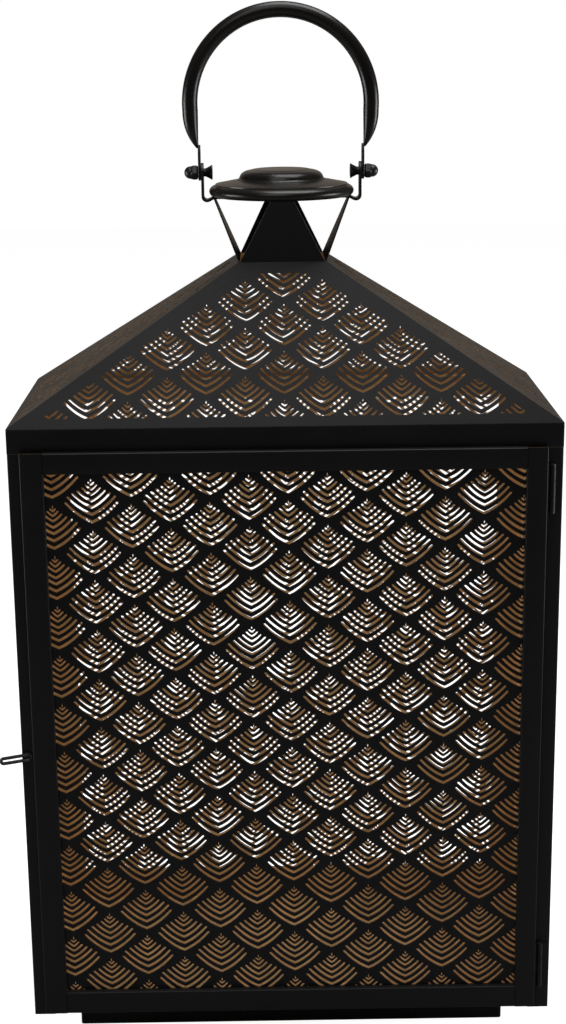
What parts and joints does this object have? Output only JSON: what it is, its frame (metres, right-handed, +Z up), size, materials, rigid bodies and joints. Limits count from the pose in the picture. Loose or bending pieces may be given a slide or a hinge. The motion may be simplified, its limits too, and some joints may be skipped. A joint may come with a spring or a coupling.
{
  "type": "perforated metal lantern",
  "caption": "Rectangular sheet-metal candle lantern with fish-scale slots, hinged front door, hipped roof, splayed neck, round cap and swinging bail handle.",
  "frame": {"origin": "centre of the plinth's underside, on the surface that the lantern stands on", "axes": "+Z up, the door faces -Y, +X to the right seen from the front"},
  "size_m": [0.4167, 0.2034, 0.788],
  "materials": {
    "black_paint": "satin black paint",
    "two_tone_sheet": "satin black paint outside, antique gold paint inside",
    "gold_paint": "antique gold paint, satin",
    "cap_black": "semi-gloss black enamel",
    "bail_black": "semi-gloss black enamel",
    "black_fastener": "black painted steel fasteners",
    "black_wire": "black steel wire, lightly rubbed"
  },
  "bodies": {
    "body": {"back_panel": "two_tone_sheet", "bail_nut_left": "black_fastener", "bail_nut_right": "black_fastener", "bail_screw_left": "black_fastener", "bail_screw_right": "black_fastener", "cap_base": "cap_black", "cap_disc": "cap_black", "cap_dome": "cap_black", "corner_post_back_left": "black_paint", "corner_post_back_right": "black_paint", "corner_post_front_left": "black_paint", "corner_post_front_right": "black_paint", "floor_pan": "gold_paint", "front_sill": "black_paint", "hanger_strap": "black_paint", "hinge_leaf_post_bottom": "black_paint", "hinge_leaf_post_top": "black_paint", "hinge_pin_bottom": "black_fastener", "hinge_pin_top": "black_fastener", "neck_plate_back": "two_tone_sheet", "neck_plate_front": "two_tone_sheet", "neck_plate_left": "two_tone_sheet", "neck_plate_right": "two_tone_sheet", "plinth": "black_paint", "roof_panel_back": "two_tone_sheet", "roof_panel_front": "two_tone_sheet", "roof_panel_left": "two_tone_sheet", "roof_panel_right": "two_tone_sheet", "side_panel_left": "two_tone_sheet", "side_panel_right": "two_tone_sheet", "top_rail_back": "black_paint", "top_rail_front": "black_paint", "top_rail_left": "black_paint", "top_rail_right": "black_paint"},
    "door": {"door_panel": "two_tone_sheet", "door_rail_bottom": "black_paint", "door_rail_top": "black_paint", "door_stile_left": "black_paint", "door_stile_right": "black_paint", "door_strike": "black_paint", "hinge_leaf_door_bottom": "black_paint", "hinge_leaf_door_top": "black_paint"},
    "bail": {"bail_grip": "bail_black", "bail_tab_left": "bail_black", "bail_tab_right": "bail_black"},
    "latch": {"latch_flag": "black_wire", "latch_loop": "black_wire", "latch_spindle": "black_wire"}
  },
  "joints": [
    {"name": "door_swing", "type": "hinge", "parent": "body", "child": "door", "pos_m": [0.1919, -0.1013, 0.256], "axis": [0, 0, 1], "range_deg": [0, 115]},
    {"name": "bail_swing", "type": "hinge", "parent": "body", "child": "bail", "pos_m": [0, 0, 0.666], "axis": [1, 0, 0], "range_deg": [-140, 140]},
    {"name": "latch_turn", "type": "hinge", "parent": "body", "child": "latch", "pos_m": [-0.1956, -0.0985, 0.244], "axis": [0, 1, 0], "range_deg": [-81, 0]}
  ]
}
